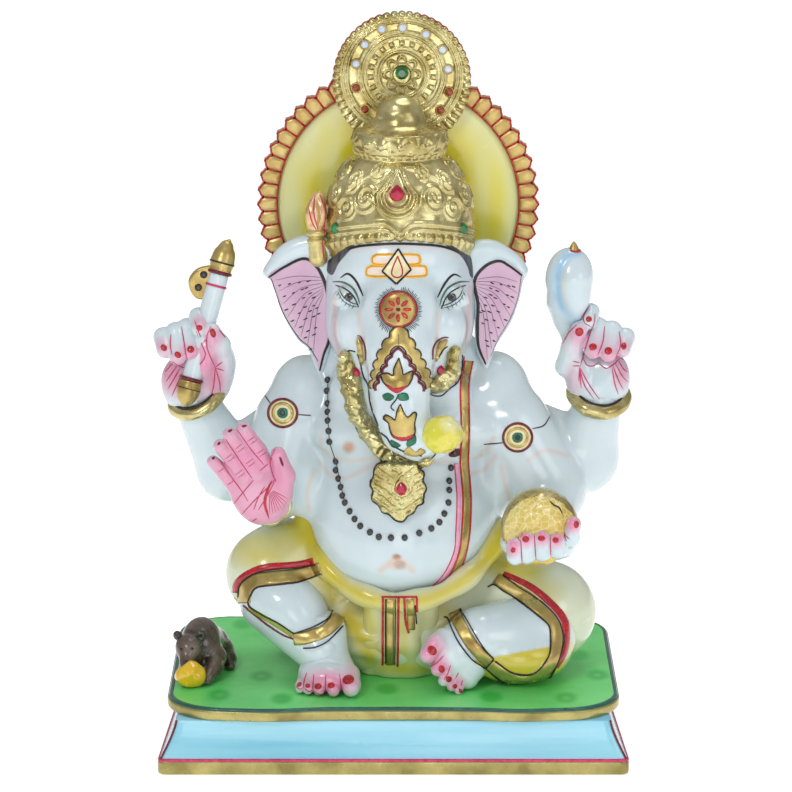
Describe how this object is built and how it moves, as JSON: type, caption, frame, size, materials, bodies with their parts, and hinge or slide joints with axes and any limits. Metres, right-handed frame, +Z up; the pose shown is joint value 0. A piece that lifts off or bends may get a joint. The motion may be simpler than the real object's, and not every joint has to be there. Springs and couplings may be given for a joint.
{
  "type": "ganesha idol",
  "caption": "Seated four-armed elephant-headed idol in painted and gilded white marble, with crown, halo, mouse and stepped base.",
  "frame": {"origin": "centre of the plinth's underside", "axes": "+Z up, -Y is the way the figure faces, +X is towards its own left hand"},
  "size_m": [0.3037, 0.212, 0.457],
  "materials": {
    "marble": "polished white marble, faintly blue in the shade",
    "blue_paint": "marble under a thin light-blue paint, glossy",
    "green_paint": "marble under a thin light-green paint, glossy",
    "yellow_paint": "marble stained yellow, glossy",
    "gold_leaf": "carved marble under gold leaf, embossed, satin",
    "brown_paint": "marble under dark brown paint, glossy",
    "sweet_paint": "marble under deep yellow paint, glossy",
    "ruby_glass": "faceted pink-red glass stone with a foil back",
    "emerald_glass": "faceted green glass stone with a foil back"
  },
  "bodies": {
    "root": {"axe_blade": "gold_leaf", "axe_butt": "gold_leaf", "axe_shaft": "marble", "axe_tip": "gold_leaf", "conch": "marble", "conch_tip": "gold_leaf", "crown": "gold_leaf", "crown_disc": "gold_leaf", "crown_knob": "gold_leaf", "crown_left_emerald": "emerald_glass", "crown_right_emerald": "emerald_glass", "crown_ruby": "ruby_glass", "crown_tassel": "gold_leaf", "disc_emerald": "emerald_glass", "front_fall": "yellow_paint", "front_left_forearm": "marble", "front_left_hand": "marble", "front_left_upper_arm": "marble", "front_right_bracelet": "gold_leaf", "front_right_forearm": "marble", "front_right_hand": "marble", "front_right_upper_arm": "marble", "garland_left": "gold_leaf", "garland_left_ruby": "ruby_glass", "garland_right": "gold_leaf", "garland_right_ruby": "ruby_glass", "halo_border": "gold_leaf", "halo_plate": "yellow_paint", "head": "marble", "lap_drape": "yellow_paint", "left_ear": "marble", "left_foot": "marble", "left_shin": "marble", "left_thigh": "yellow_paint", "left_tusk": "gold_leaf", "mouse": "brown_paint", "mouse_sweet": "sweet_paint", "pendant": "gold_leaf", "pendant_ruby": "ruby_glass", "plinth": "blue_paint", "plinth_foot": "gold_leaf", "rear_left_bracelet": "gold_leaf", "rear_left_forearm": "marble", "rear_left_hand": "marble", "rear_left_upper_arm": "marble", "rear_right_bracelet": "gold_leaf", "rear_right_forearm": "marble", "rear_right_hand": "marble", "rear_right_upper_arm": "marble", "right_ear": "marble", "right_foot": "marble", "right_shin": "marble", "right_thigh": "yellow_paint", "right_tusk": "gold_leaf", "seat_slab": "green_paint", "sweets": "sweet_paint", "torso": "marble", "trunk": "marble", "trunk_sweet": "sweet_paint"}
  },
  "joints": []
}
